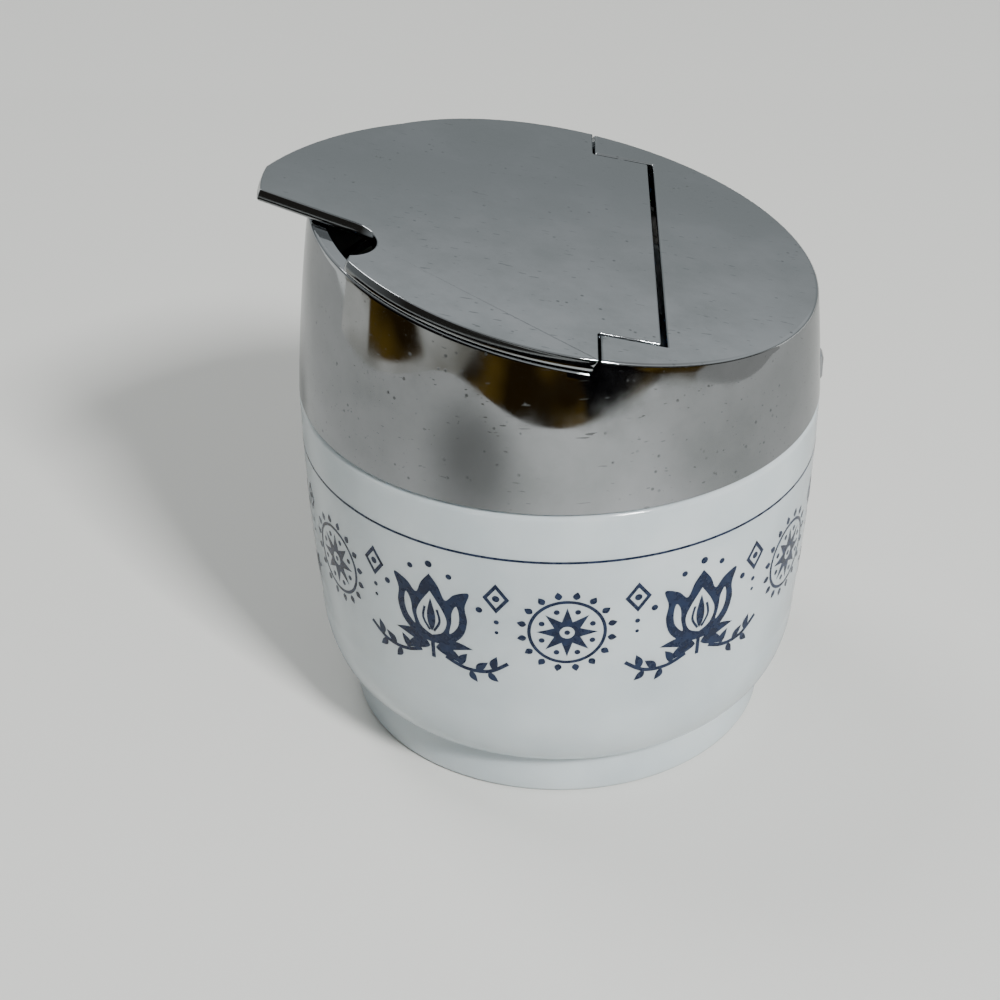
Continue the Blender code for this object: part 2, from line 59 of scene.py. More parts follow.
def draw(name, mesh_bm):
    """Make a bmesh an object, with its doubles merged and its faces outward."""
    bmesh.ops.remove_doubles(mesh_bm, verts=mesh_bm.verts, dist=1e-4)
    bmesh.ops.recalc_face_normals(mesh_bm, faces=mesh_bm.faces)
    many_sided = [face for face in mesh_bm.faces if len(face.verts) > 4]
    bmesh.ops.triangulate(mesh_bm, faces=many_sided, ngon_method="BEAUTY")
    mesh = bpy.data.meshes.new(name)
    mesh_bm.to_mesh(mesh)
    mesh_bm.free()
    drawn = bpy.data.objects.new(name, mesh)
    bpy.context.scene.collection.objects.link(drawn)
    return drawn


def place(drawn, sharp_deg=30.0):
    """Turn an object drawn in millimetres into metres, in the part's frame, smooth but for its edges."""
    drawn.data.transform(Matrix.Translation((jar_axis, 0.0, 0.0)) @ Matrix.Scale(millimetre, 4))
    drawn.data.shade_smooth()
    drawn.data.set_sharp_from_angle(angle=math.radians(sharp_deg))
    return drawn


def turned(name, outline, steps=round_steps):
    """Turn an outline of (radius, height) round the jar's axis; it may start and end on the axis."""
    mesh_bm = bmesh.new()
    rings = []
    for radius, height in outline:
        count = 1 if radius == 0.0 else steps
        rings.append([mesh_bm.verts.new((radius * math.cos(math.tau * step / steps),
                                         radius * math.sin(math.tau * step / steps), height))
                      for step in range(count)])
    pairs = list(zip(rings, rings[1:]))
    if outline[0][0] > 0.0:
        pairs.append((rings[-1], rings[0]))
    for ring, after in pairs:
        for step in range(steps):
            following = (step + 1) % steps
            corners = [ring[step % len(ring)], ring[following % len(ring)],
                       after[following % len(after)], after[step % len(after)]]
            mesh_bm.faces.new(list(dict.fromkeys(corners)))
    return draw(name, mesh_bm)


def arc(centre, radii, start_deg, end_deg, steps):
    """Points along an elliptical arc, both ends included."""
    points = []
    for step in range(steps + 1):
        turn = math.radians(start_deg + (end_deg - start_deg) * step / steps)
        points.append((centre[0] + radii[0] * math.cos(turn), centre[1] + radii[1] * math.sin(turn)))
    return points


def evaluated(drawn):
    """The mesh of an object or curve with its modifiers applied."""
    return bpy.data.meshes.new_from_object(drawn.evaluated_get(bpy.context.evaluated_depsgraph_get()))


def combine(target, tools, operation):
    """Join or cut an object with others, which are used up."""
    for tool in tools:
        modifier = target.modifiers.new(operation.lower(), "BOOLEAN")
        modifier.operation = operation
        modifier.solver = "EXACT"
        modifier.object = tool
        result = evaluated(target)
        target.modifiers.remove(modifier)
        bpy.data.objects.remove(tool, do_unlink=True)
        mesh_bm = bmesh.new()
        mesh_bm.from_mesh(result)
        bmesh.ops.remove_doubles(mesh_bm, verts=mesh_bm.verts, dist=1e-4)
        bmesh.ops.triangulate(mesh_bm, faces=mesh_bm.faces, ngon_method="BEAUTY")
        mesh_bm.to_mesh(result)
        mesh_bm.free()
        target.data = result
    return target


waist_radius, waist_height = 40.4, 20.2
body_radius, shoulder_height = 42.1, 58.5
foot_radius, crease_radius, foot_height = 35.1, 34.3, 7.2
shoulder_round, foot_round, glass_wall = 1.2, 0.8, 3.4
neck_radius, neck_bore, neck_top, lip_round = 35.6, 32.4, 67.7, 0.8
floor_radius, floor_height, recess_height = 29.0, 8.3, 2.5


def side_radius(height):
    """Outer radius of the jar's side above its waist."""
    share = (height - waist_height) / (shoulder_height - shoulder_round - waist_height)
    return waist_radius + (body_radius - waist_radius) * share * (2.0 - share)


def jar_profile():
    body_top = shoulder_height - shoulder_round
    outline = [(0.0, recess_height + 0.6), (15.0, recess_height + 0.35), (30.5, recess_height)]
    outline += arc((foot_radius - 2.4, 0.9), (1.3, 0.9), 180.0, 270.0, 6)
    outline += arc((foot_radius - foot_round, foot_round), (foot_round, foot_round), -90.0, 0.0, 8)
    crease = (crease_radius, foot_height - 0.5)
    outline += [(foot_radius - 0.25, 3.0), (foot_radius - 0.6, 5.4), crease]
    turn_radii = (waist_radius - crease_radius, waist_height - foot_height)
    outline += arc((crease_radius, waist_height), turn_radii, -84.0, 0.0, 40)
    for step in range(1, 33):
        height = waist_height + (body_top - waist_height) * step / 32
        outline.append((side_radius(height), height))
    outline += arc((body_radius - shoulder_round, body_top), (shoulder_round, shoulder_round),
                   0.0, 90.0, 12)[1:]
    outline += arc((neck_radius + 0.6, shoulder_height + 0.6), (0.6, 0.6), 270.0, 180.0, 5)
    outline += arc((neck_radius - lip_round, neck_top - lip_round), (lip_round, lip_round), 0.0, 90.0, 8)
    outline += arc((neck_bore + lip_round, neck_top - lip_round), (lip_round, lip_round), 90.0, 180.0, 8)
    inner_turn = (body_radius - glass_wall - neck_bore, 5.0)
    outline += arc((neck_bore, 50.5), inner_turn, 90.0, 0.0, 16)
    for step in range(1, 17):
        height = 50.5 + (waist_height - 50.5) * step / 16
        outline.append((side_radius(height) - glass_wall, height))
    floor_turn = (waist_radius - glass_wall - floor_radius, waist_height - floor_height)
    outline += arc((floor_radius, waist_height), floor_turn, 0.0, -90.0, 20)[1:]
    outline += [(15.0, floor_height), (0.0, floor_height)]
    return outline


thread_lead, thread_height, thread_root, thread_crest = 4.0, 1.3, 2.0, 0.8


def thread_ridge(name, root_radius, outward, start_deg, end_deg, first_height):
    """A trapezoid ridge along a helix, faded out at both ends and sunk into its wall."""
    steps = round((end_deg - start_deg) / 3.0)
    mesh_bm = bmesh.new()
    rings = []
    for step in range(steps + 1):
        turn_deg = start_deg + (end_deg - start_deg) * step / steps
        fade = min(1.0, 0.25 + 0.75 * min(turn_deg - start_deg, end_deg - turn_deg) / 20.0)
        height = first_height + thread_lead * turn_deg / 360.0
        turn = math.radians(turn_deg)
        ring = []
        for sink, half in ((-0.4, thread_root / 2.0 + 0.2), (thread_height * fade, thread_crest / 2.0)):
            radius = root_radius + outward * sink
            ring.append((radius * math.cos(turn), radius * math.sin(turn), height - half))
            ring.append((radius * math.cos(turn), radius * math.sin(turn), height + half))
        rings.append([mesh_bm.verts.new(ring[corner]) for corner in (0, 2, 3, 1)])
    for ring, after in zip(rings, rings[1:]):
        for corner in range(4):
            following = (corner + 1) % 4
            mesh_bm.faces.new((ring[corner], ring[following], after[following], after[corner]))
    mesh_bm.faces.new(rings[0])
    mesh_bm.faces.new(rings[-1])
    return draw(name, mesh_bm)


def linear(colour):
    """Linear colour of an sRGB hex value."""
    shares = [int(colour[start:start + 2], 16) / 255.0 for start in (1, 3, 5)]
    return tuple(share / 12.92 if share <= 0.04045 else ((share + 0.055) / 1.055) ** 2.4
                 for share in shares) + (1.0,)


def add(tree, kind, inputs=None, output=None, **settings):
    """Add a node, set its properties, feed its sockets with values or outputs, and give its output."""
    node = tree.nodes.new(kind if kind.startswith(("Geometry", "Node")) else "ShaderNode" + kind)
    for name, value in settings.items():
        setattr(node, name, value)
    for socket, value in (inputs or {}).items():
        if isinstance(value, bpy.types.NodeSocket):
            tree.links.new(value, node.inputs[socket])
        else:
            node.inputs[socket].default_value = value
    live = [socket for socket in node.outputs if socket.enabled]
    return node.outputs[output] if output else live[0] if live else None


def new_material(name, constants):
    """A Principled material with constants on its shader's sockets, its tree and its shader."""
    material = bpy.data.materials.new(name)
    material.use_nodes = True
    shader = material.node_tree.nodes["Principled BSDF"]
    for socket, value in constants.items():
        shader.inputs[socket].default_value = value
    return material, material.node_tree, shader


def dress(drawn, material):
    """Give an object one material in place of what it had."""
    drawn.data.materials.clear()
    drawn.data.materials.append(material)


# Opal glass, pressed and fire-polished: milk-white with a cold cast, a wet gloss, and light that
# goes a little way in, so that its edges and shadows stay soft. The mould leaves a very faint wave.
opal_glass, tree, shader = new_material("opal_glass_pressed", {
    "Roughness": 0.10, "IOR": 1.50, "Subsurface Weight": 0.35, "Subsurface Scale": 1.0,
    "Subsurface Radius": (0.0030, 0.0034, 0.0038)})
where = add(tree, "TexCoord", output="Object")
cloud = add(tree, "TexNoise", {"Vector": where, "Scale": 55.0, "Detail": 3.0})
cloud_share = add(tree, "MapRange", {"Value": cloud, "From Min": 0.35, "From Max": 0.65})
milk = add(tree, "Mix", {"Factor": cloud_share, "A": linear("#bac4c8"), "B": linear("#c7d0d3")},
           data_type="RGBA")
tree.links.new(milk, shader.inputs["Base Color"])
wave = add(tree, "TexNoise", {"Vector": where, "Scale": 90.0, "Detail": 1.0})
mould_wave = add(tree, "Bump", {"Height": wave, "Strength": 0.05, "Distance": 0.0003})
tree.links.new(mould_wave, shader.inputs["Normal"])

jar = turned("glass_jar_fine", jar_profile())
combine(jar, [thread_ridge("neck_thread", neck_radius, 1.0, 0.0, 400.0, shoulder_height + 3.1)], "UNION")
place(jar)
dress(jar, opal_glass)
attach(jar, "jar")
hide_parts("glass_jar")


# Printed band and stripe
# Navy enamel, screen-printed on the glass and fired: a thin film with a softer gloss than the glass.
# The band is a plain folk border of buds, stars and swags, repeated round the jar.
repeat_count = 6
band_middle = 36.5
band_girth = math.tau * side_radius(band_middle)
repeat_length = band_girth / repeat_count
film_top, film_depth = 0.020, 0.050
line_width = 0.68


def disc(x, y, radius, steps=20):
    return [(x + radius * math.cos(math.tau * step / steps), y + radius * math.sin(math.tau * step / steps))
            for step in range(steps)]


def smooth_line(points, steps=8, closed=False):
    """A Catmull-Rom line through points."""
    count = len(points)
    line = []
    for index in range(count if closed else count - 1):
        near = []
        for offset in (-1, 0, 1, 2):
            place_index = index + offset
            place_index = place_index % count if closed else min(max(place_index, 0), count - 1)
            near.append(Vector(points[place_index]))
        for step in range(steps):
            t = step / steps
            point = 0.5 * (2.0 * near[1] + (near[2] - near[0]) * t
                           + (2.0 * near[0] - 5.0 * near[1] + 4.0 * near[2] - near[3]) * t ** 2
                           + (3.0 * near[1] - near[0] - 3.0 * near[2] + near[3]) * t ** 3)
            line.append((point.x, point.y))
    if not closed:
        line.append(tuple(points[-1]))
    return line


def stroke(points, width=line_width):
    """Closed outline of a line of even width."""
    left, right = [], []
    last = len(points) - 1
    for index, point in enumerate(points):
        along = (Vector(points[min(index + 1, last)]) - Vector(points[max(index - 1, 0)])).normalized()
        side = Vector((-along.y, along.x))
        left.append(tuple(Vector(point) + side * width / 2.0))
        right.append(tuple(Vector(point) - side * width / 2.0))
    return left + right[::-1]


def leaf(x, y, length, width, turn_deg, bend=0.0):
    """A pointed leaf from its foot at (x, y), bent to one side."""
    turn = math.radians(turn_deg)
    outline = []
    for side in (1.0, -1.0):
        for step in range(13):
            share = step / 12 if side > 0.0 else 1.0 - step / 12
            half = side * width / 2.0 * math.sin(math.pi * share ** 0.8)
            outline.append((length * share, half + bend * math.sin(math.pi * share)))
    return [(x + along * math.cos(turn) - across * math.sin(turn),
             y + along * math.sin(turn) + across * math.cos(turn)) for along, across in outline]


def mirrored(outline):
    return [(-x, y) for x, y in outline]


def shifted(outline, x, y):
    return [(px + x, py + y) for px, py in outline]


def bud_shapes():
    """A filled bud on a stem, with hollow petals and a hatched heart, about 15 mm tall."""
    half_shell = [(0.0, -5.2), (2.9, -4.6), (5.3, -2.4), (6.2, 0.6), (5.9, 3.4), (6.6, 6.2), (4.2, 5.4),
                  (2.6, 3.9), (1.5, 6.2), (0.0, 8.2)]
    shell = smooth_line(half_shell, 6) + mirrored(smooth_line(half_shell, 6))[::-1][1:-1]
    half_heart = [(0.0, -3.7), (1.9, -2.6), (2.7, -0.3), (1.9, 2.0), (0.0, 4.9)]
    heart = smooth_line(half_heart, 6) + mirrored(smooth_line(half_heart, 6))[::-1][1:-1]
    petal = smooth_line([(3.1, -2.5), (4.5, -0.9), (4.9, 1.3), (4.5, 3.2), (3.7, 1.9), (3.5, -0.3)], 5, True)
    shapes = [[shell, heart, petal, mirrored(petal)]]
    shapes.append([leaf(0.0, -2.9, 6.4, 1.5, 90.0)])
    for lean in (1.45, -1.45):
        shapes.append([stroke(smooth_line([(lean * 0.25, -2.8), (lean, -0.7), (lean * 0.75, 1.6)], 6), 0.42)])
    for turn_deg, length in ((12.0, 6.6), (-24.0, 5.2)):
        side_leaf = leaf(0.5, -6.0, length, 1.9, turn_deg, 0.7)
        shapes += [[side_leaf], [mirrored(side_leaf)]]
    shapes.append([stroke([(0.0, -5.0), (0.0, -6.6), (0.0, -8.2)])])
    for x, y, radius in ((0.0, 10.0, 0.62), (3.4, 8.6, 0.5), (-3.4, 8.6, 0.5), (8.2, 3.6, 0.55),
                         (-8.2, 3.6, 0.55)):
        shapes.append([disc(x, y, radius, 14)])
    return shapes


def star_shapes():
    """An eight-point star in a ring of bars and dots, about 13 mm across."""
    star = []
    for step in range(16):
        reach, turn = 2.15 if step % 2 else 4.7, math.pi * step / 8
        star.append((reach * math.cos(turn), reach * math.sin(turn)))
    shapes = [[star, disc(0.0, 0.0, 1.15, 24)], [disc(0.0, 0.0, 0.45, 14)],
              [disc(0.0, 0.0, 6.1, 64), disc(0.0, 0.0, 5.55, 64)]]
    for step in range(8):
        turn = math.pi * (step + 0.5) / 4
        shapes.append([disc(4.2 * math.cos(turn), 4.2 * math.sin(turn), 0.46, 14)])
    for step in range(16):
        turn = math.tau * (step + 0.5) / 16
        shapes.append([leaf(6.35 * math.cos(turn), 6.35 * math.sin(turn), 1.5, 1.15, math.degrees(turn))])
    return shapes


def swag_shapes():
    """A hanging garland between a bud and a star, with a lozenge above it."""
    shapes = [[stroke(smooth_line([(2.2, -7.3), (5.6, -8.6), (9.4, -8.4), (12.6, -6.3)], 10))]]
    for x, y, turn_deg in ((4.6, -8.2, 62.0), (7.4, -8.8, 48.0), (10.2, -8.0, 78.0)):
        shapes.append([leaf(x, y, 2.9, 1.35, turn_deg, 0.2)])
    for x, y, turn_deg in ((6.4, -8.9, -62.0), (9.4, -8.5, -48.0)):
        shapes.append([leaf(x, y, 2.4, 1.2, turn_deg, -0.2)])
    lozenge = [(10.9, 3.4), (13.0, 6.2), (10.9, 9.0), (8.8, 6.2)]
    inner = [(10.9, 4.4), (12.25, 6.2), (10.9, 8.0), (9.55, 6.2)]
    return shapes + [[lozenge, inner], [disc(10.9, 6.2, 0.6, 14)], [disc(10.9, 1.7, 0.42, 12)],
                     [disc(10.9, -0.3, 0.32, 12)]]


def filled(outlines):
    """Fill closed outlines, the inner ones as holes, and return the mesh."""
    curve = bpy.data.curves.new("outline", "CURVE")
    curve.dimensions = "2D"
    curve.fill_mode = "BOTH"
    for outline in outlines:
        spline = curve.splines.new("POLY")
        spline.points.add(len(outline) - 1)
        spline.points.foreach_set("co", [value for x, y in outline for value in (x, y, 0.0, 1.0)])
        spline.use_cyclic_u = True
    sheet = bpy.data.objects.new("outline", curve)
    bpy.context.scene.collection.objects.link(sheet)
    mesh = evaluated(sheet)
    bpy.data.objects.remove(sheet, do_unlink=True)
    bpy.data.curves.remove(curve)
    return mesh


def one_repeat():
    """The flat art of one repeat, cut into strips so that it can be bent round the glass."""
    groups = bud_shapes()
    groups += [[shifted(outline, repeat_length / 2.0, 0.6) for outline in group] for group in star_shapes()]
    swags = swag_shapes()
    groups += swags
    groups += [[shifted(mirrored(outline), repeat_length, 0.0) for outline in group] for group in swags]
    mesh_bm = bmesh.new()
    for index, group in enumerate(groups):
        sheet = filled(group)
        sheet.transform(Matrix.Translation((0.0, 0.0, 0.0015 * (index % 3))))
        mesh_bm.from_mesh(sheet)
        bpy.data.meshes.remove(sheet)
    for normal, low, high, step in (((1.0, 0.0, 0.0), -9.0, repeat_length + 1.0, 1.4),
                                    ((0.0, 1.0, 0.0), -12.0, 12.0, 2.5)):
        cut = low
        while cut < high:
            bmesh.ops.bisect_plane(mesh_bm, geom=mesh_bm.verts[:] + mesh_bm.edges[:] + mesh_bm.faces[:],
                                   plane_co=Vector(normal) * cut, plane_no=normal, dist=1e-5)
            cut += step
    for face in mesh_bm.faces:
        if face.normal.z < 0.0:
            face.normal_flip()
    mesh = bpy.data.meshes.new("printed_band")
    mesh_bm.to_mesh(mesh)
    mesh_bm.free()
    return mesh


def band_tree(material):
    """Repeat the flat art along a line, bend it round the jar's side and give the film its thickness."""
    tree = bpy.data.node_groups.new("band_round_the_jar", "GeometryNodeTree")
    face = tree.interface
    face.new_socket("Geometry", in_out="INPUT", socket_type="NodeSocketGeometry")
    face.new_socket("Geometry", in_out="OUTPUT", socket_type="NodeSocketGeometry")
    for name, kind in (("Repeats", "NodeSocketInt"), ("Repeat Length", "NodeSocketFloat"),
                       ("Band Middle", "NodeSocketFloat"), ("Film Depth", "NodeSocketFloat"),
                       ("First Turn", "NodeSocketFloat")):
        face.new_socket(name, in_out="INPUT", socket_type=kind)
    given = add(tree, "NodeGroupInput").node.outputs
    step = add(tree, "CombineXYZ", {"X": given["Repeat Length"]})
    row = add(tree, "GeometryNodeMeshLine", {"Count": given["Repeats"], "Offset": step})
    copies = add(tree, "GeometryNodeInstanceOnPoints", {"Points": row, "Instance": given["Geometry"]})
    flat = add(tree, "GeometryNodeRealizeInstances", {"Geometry": copies})
    depth = add(tree, "Math", {0: given["Film Depth"], 1: -1.0}, operation="MULTIPLY")
    film = add(tree, "GeometryNodeExtrudeMesh", {"Mesh": flat, "Individual": False,
                                                 "Offset": add(tree, "CombineXYZ", {"Z": depth})})
    below = add(tree, "GeometryNodeFlipFaces", {"Mesh": film})
    both = add(tree, "GeometryNodeJoinGeometry", {"Geometry": below})
    tree.links.new(flat, both.node.inputs["Geometry"])
    spot = add(tree, "SeparateXYZ", {"Vector": add(tree, "GeometryNodeInputPosition")}).node.outputs
    girth = add(tree, "Math", {0: given["Repeats"], 1: given["Repeat Length"]}, operation="MULTIPLY")
    round_share = add(tree, "Math", {0: spot["X"], 1: girth}, operation="DIVIDE")
    turn = add(tree, "Math", {0: round_share, 1: math.tau, 2: given["First Turn"]}, operation="MULTIPLY_ADD")
    height = add(tree, "Math", {0: spot["Y"], 1: given["Band Middle"]}, operation="ADD")
    share = add(tree, "MapRange", {"Value": height, "From Min": waist_height,
                                   "From Max": shoulder_height - shoulder_round}, clamp=False)
    left_over = add(tree, "Math", {0: 2.0, 1: share}, operation="SUBTRACT")
    widening = add(tree, "Math", {0: share, 1: left_over}, operation="MULTIPLY")
    radius = add(tree, "Math", {0: widening, 1: body_radius - waist_radius, 2: waist_radius},
                 operation="MULTIPLY_ADD")
    radius = add(tree, "Math", {0: radius, 1: spot["Z"]}, operation="ADD")
    ahead, aside = [add(tree, "Math", {0: radius, 1: add(tree, "Math", {0: turn}, operation=wave_kind)},
                        operation="MULTIPLY") for wave_kind in ("COSINE", "SINE")]
    bent = add(tree, "CombineXYZ", {"X": ahead, "Y": aside, "Z": height})
    round_jar = add(tree, "GeometryNodeSetPosition", {"Geometry": both, "Position": bent})
    merged = add(tree, "GeometryNodeMergeByDistance", {"Geometry": round_jar, "Distance": 0.0005})
    real = add(tree, "GeometryNodeRealizeInstances", {"Geometry": merged})
    coloured = add(tree, "GeometryNodeSetMaterial", {"Geometry": real, "Material": material})
    add(tree, "NodeGroupOutput", {"Geometry": coloured})
    return tree


def grown(base, tree, values):
    """Run a geometry tree on an object with named inputs and keep its result as a plain mesh."""
    modifier = base.modifiers.new(tree.name, "NODES")
    modifier.node_group = tree
    for item in tree.interface.items_tree:
        if item.name in values:
            modifier[item.identifier] = values[item.name]
    base.update_tag()
    result = evaluated(base)
    base.modifiers.remove(modifier)
    base.data = result
    return base


# Navy enamel, screen-printed and fired: near black with a blue cast, a shade paler where the film
# is thin, and slightly rougher than the glass. Its mesh is drawn 0.02 mm proud, as the film stands.
navy_enamel, tree, shader = new_material("navy_enamel_fired", {"IOR": 1.38})
where = add(tree, "TexCoord", output="Object")
thin = add(tree, "TexNoise", {"Vector": where, "Scale": 700.0, "Detail": 3.0})
thin_share = add(tree, "MapRange", {"Value": thin, "From Min": 0.35, "From Max": 0.7})
navy = add(tree, "Mix", {"Factor": thin_share, "A": linear("#0c1830"), "B": linear("#182845")},
           data_type="RGBA")
tree.links.new(navy, shader.inputs["Base Color"])
rough = add(tree, "MapRange", {"Value": thin, "From Min": 0.3, "From Max": 0.7, "To Min": 0.22,
                               "To Max": 0.34})
tree.links.new(rough, shader.inputs["Roughness"])

band_mesh = one_repeat()
band_mesh.transform(Matrix.Translation((0.0, 0.0, film_top)))
band = bpy.data.objects.new("printed_band", band_mesh)
bpy.context.scene.collection.objects.link(band)
grown(band, band_tree(navy_enamel), {"Repeats": repeat_count, "Repeat Length": repeat_length,
                                     "Band Middle": band_middle, "Film Depth": film_depth,
                                     "First Turn": math.radians(-118.0)})
place(band)
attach(band, "jar")

stripe_height, stripe_width = 50.2, 0.42
stripe = turned("printed_stripe", [
    (side_radius(stripe_height) + out, stripe_height + side * stripe_width / 2.0)
    for out, side in ((-film_depth, -1.0), (film_top, -1.0), (film_top, 1.0), (-film_depth, 1.0))])
place(stripe)
dress(stripe, navy_enamel)
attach(stripe, "jar")


# Sealing ring and thread collar
# A die-cut washer of white polyethylene foam lies on the glass lip, under the flange of a moulded
# polypropylene collar that snaps into the plated shell and carries the thread. Both are hidden.
ring_foam, tree, shader = new_material("polyethylene_foam_cut", {"Roughness": 0.85})
where = add(tree, "TexCoord", output="Object")
cells = add(tree, "TexVoronoi", {"Vector": where, "Scale": 2500.0})
foam = add(tree, "Mix", {"Factor": cells, "A": linear("#e4e3dc"), "B": linear("#f2f1ea")}, data_type="RGBA")
tree.links.new(foam, shader.inputs["Base Color"])
cell_walls = add(tree, "Bump", {"Height": cells, "Strength": 0.3, "Distance": 0.0001})
tree.links.new(cell_walls, shader.inputs["Normal"])
dress(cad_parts["sealing_ring"], ring_foam)

collar_plastic, tree, shader = new_material("polypropylene_moulded", {"Roughness": 0.42, "IOR": 1.49})
where = add(tree, "TexCoord", output="Object")
flow = add(tree, "TexNoise", {"Vector": where, "Scale": 160.0, "Detail": 2.0})
ivory = add(tree, "Mix", {"Factor": flow, "A": linear("#dddcd4"), "B": linear("#e9e8e1")}, data_type="RGBA")
tree.links.new(ivory, shader.inputs["Base Color"])
dress(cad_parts["thread_collar"], collar_plastic)


# Lid shell
# One plastic moulding, chrome-plated: a bowed barrel cut off on a slant, with a fixed deck at the
# back, two ears that hold the hinge, and in front a lower rim that the flap closes on.
slant = math.radians(11.62)
lid_radius, lid_bottom, lid_taper, lid_bow = 42.1, 58.8, 0.0588, 381.7
lid_top = 70.6 + 5.2 + lid_radius * math.tan(slant)
lid_wall, skirt_radius, edge_round = 2.2, 39.9, 0.5
deck_thickness, deck_front, rib_depth, rib_width = 2.0, 16.0, 5.2, 1.6
flap_thickness, flap_gap, seat_gap = 1.9, 0.25, 0.3
rim_level = -(flap_thickness + seat_gap)
tongue_half, ear_front, ear_rake = 31.5, 6.2, 1.3 / -rim_level
ear_inner = tongue_half + flap_gap
hinge_back, hinge_depth, socket_radius, socket_depth = 10.5, 2.0, 1.08, 3.2
flap_opening = math.radians(100.0)
far_out = 105.0
lid_steps = 288
lid_frame = Matrix((
    (-math.cos(slant), 0.0, math.sin(slant), 0.0),
    (0.0, -1.0, 0.0, 0.0),
    (math.sin(slant), 0.0, math.cos(slant), lid_top),
    (0.0, 0.0, 0.0, 1.0)))
crosswise = lid_frame @ Matrix((
    (1.0, 0.0, 0.0, 0.0),
    (0.0, 0.0, 1.0, 0.0),
    (0.0, 1.0, 0.0, 0.0),
    (0.0, 0.0, 0.0, 1.0)))


def barrel_radius(height):
    rise = height - lid_bottom
    return lid_radius - lid_taper * rise - rise * rise / (2.0 * lid_bow)


def edge_point(turn, level, inset):
    """Radius and height where the wall, less an inset, meets a plane parallel to the lid's top."""
    radius = lid_radius
    for _ in range(8):
        height = lid_top + radius * math.cos(turn) * math.tan(slant) + level / math.cos(slant)
        radius = barrel_radius(height) - inset
    return radius, height


def barrel(name, level, spread):
    """The bowed barrel, cut off at a level under the top plane, with its upper edge rounded."""
    mesh_bm = bmesh.new()
    columns = []
    for step in range(lid_steps):
        turn = math.tau * step / lid_steps
        corner_radius, corner_height = edge_point(turn, level, 0.0)
        inner_radius, inner_height = edge_point(turn, level, edge_round)
        wall_top = corner_height - edge_round
        column = []
        for row in range(25):
            height = lid_bottom + (wall_top - lid_bottom) * row / 24
            column.append((barrel_radius(height) + spread, height))
        corner = Vector((corner_radius + spread, corner_height))
        low = Vector(column[-1])
        high = Vector((inner_radius, inner_height))
        for row in range(1, 11):
            share = row / 10
            point = low * (1.0 - share) ** 2 + corner * 2.0 * share * (1.0 - share) + high * share ** 2
            column.append((point.x, point.y))
        columns.append([mesh_bm.verts.new((-radius * math.cos(turn), radius * math.sin(turn), height))
                        for radius, height in column])
    for column, after in zip(columns, columns[1:] + columns[:1]):
        for row in range(len(column) - 1):
            mesh_bm.faces.new((column[row], after[row], after[row + 1], column[row + 1]))
    mesh_bm.faces.new([column[0] for column in columns])
    mesh_bm.faces.new([column[-1] for column in columns])
    return draw(name, mesh_bm)


def keep_top_flat(drawn):
    """Part the lid's level faces from the roundings beside them, so that they mirror as one plane."""
    mesh_bm = bmesh.new()
    mesh_bm.from_mesh(drawn.data)
    upward = (lid_frame.to_3x3() @ Vector((0.0, 0.0, 1.0))).normalized()
    for edge in mesh_bm.edges:
        level = [abs(face.normal.dot(upward)) > 0.99995 for face in edge.link_faces]
        if any(level) and not all(level):
            edge.smooth = False
    mesh_bm.to_mesh(drawn.data)
    mesh_bm.free()


def lofted(name, rings, matrix=None):
    """A closed solid through rings of equal count, capped at both ends."""
    mesh_bm = bmesh.new()
    made = [[mesh_bm.verts.new(point) for point in ring] for ring in rings]
    for ring, after in zip(made, made[1:]):
        for index, corner in enumerate(ring):
            following = (index + 1) % len(ring)
            mesh_bm.faces.new((corner, ring[following], after[following], after[index]))
    mesh_bm.faces.new(made[0])
    mesh_bm.faces.new(made[-1])
    if matrix is not None:
        bmesh.ops.transform(mesh_bm, matrix=matrix, verts=mesh_bm.verts)
    return draw(name, mesh_bm)


def prism(name, outline, low, high, matrix):
    return lofted(name, [[(x, y, level) for x, y in outline] for level in (low, high)], matrix)


def block(x_low, x_high, y_low, y_high):
    return [(x_low, y_low), (x_high, y_low), (x_high, y_high), (x_low, y_high)]


def rounded_corner(corner, before, after, radius, steps=4):
    """Points of a corner rounded between its two neighbours."""
    first = (Vector(before) - Vector(corner)).normalized() * radius
    last = (Vector(after) - Vector(corner)).normalized() * radius
    points = []
    for step in range(steps + 1):
        share = step / steps
        point = Vector(corner) + first * (1.0 - share) ** 2 + last * share ** 2
        points.append(tuple(point))
    return points


def opening_ring(level, grow):
    """Plan of the room in front of the deck at a level, grown at its edges to round them."""
    back = -deck_front - grow
    side = ear_inner + grow
    front = -ear_front - ear_rake * level - grow
    corners = [(far_out, -far_out), (far_out, far_out), (front, far_out), (front, side), (back, side),
               (back, -side), (front, -side), (front, -far_out)]
    ring = []
    for index, corner in enumerate(corners):
        before, after = corners[index - 1], corners[(index + 1) % 8]
        if 3 <= index <= 6:
            ring += rounded_corner(corner, before, after, 0.5 if index in (4, 5) else 0.35)
        else:
            ring.append(corner)
    return [(x, y, level) for x, y in ring]


def lid_hollow():
    """The space inside the shell: skirt bore, collar stop and the room under the deck."""
    ledge_low, ledge_high = 70.9, 72.1
    outline = [(0.0, lid_bottom - 4.0), (skirt_radius - 0.7, lid_bottom - 4.0),
               (skirt_radius - 0.7, lid_bottom + 0.9), (skirt_radius, lid_bottom + 0.9),
               (skirt_radius, ledge_low), (skirt_radius - 1.6, ledge_low), (skirt_radius - 1.6, ledge_high)]
    for row in range(25):
        height = ledge_high + (far_out - ledge_high) * row / 24
        outline.append((min(barrel_radius(height) - lid_wall, skirt_radius), height))
    outline.append((0.0, far_out))
    hollow = turned("lid_hollow", outline, lid_steps)
    above = prism("above", block(-far_out, far_out, -far_out, far_out), -deck_thickness, far_out, lid_frame)
    return combine(hollow, [above], "DIFFERENCE")


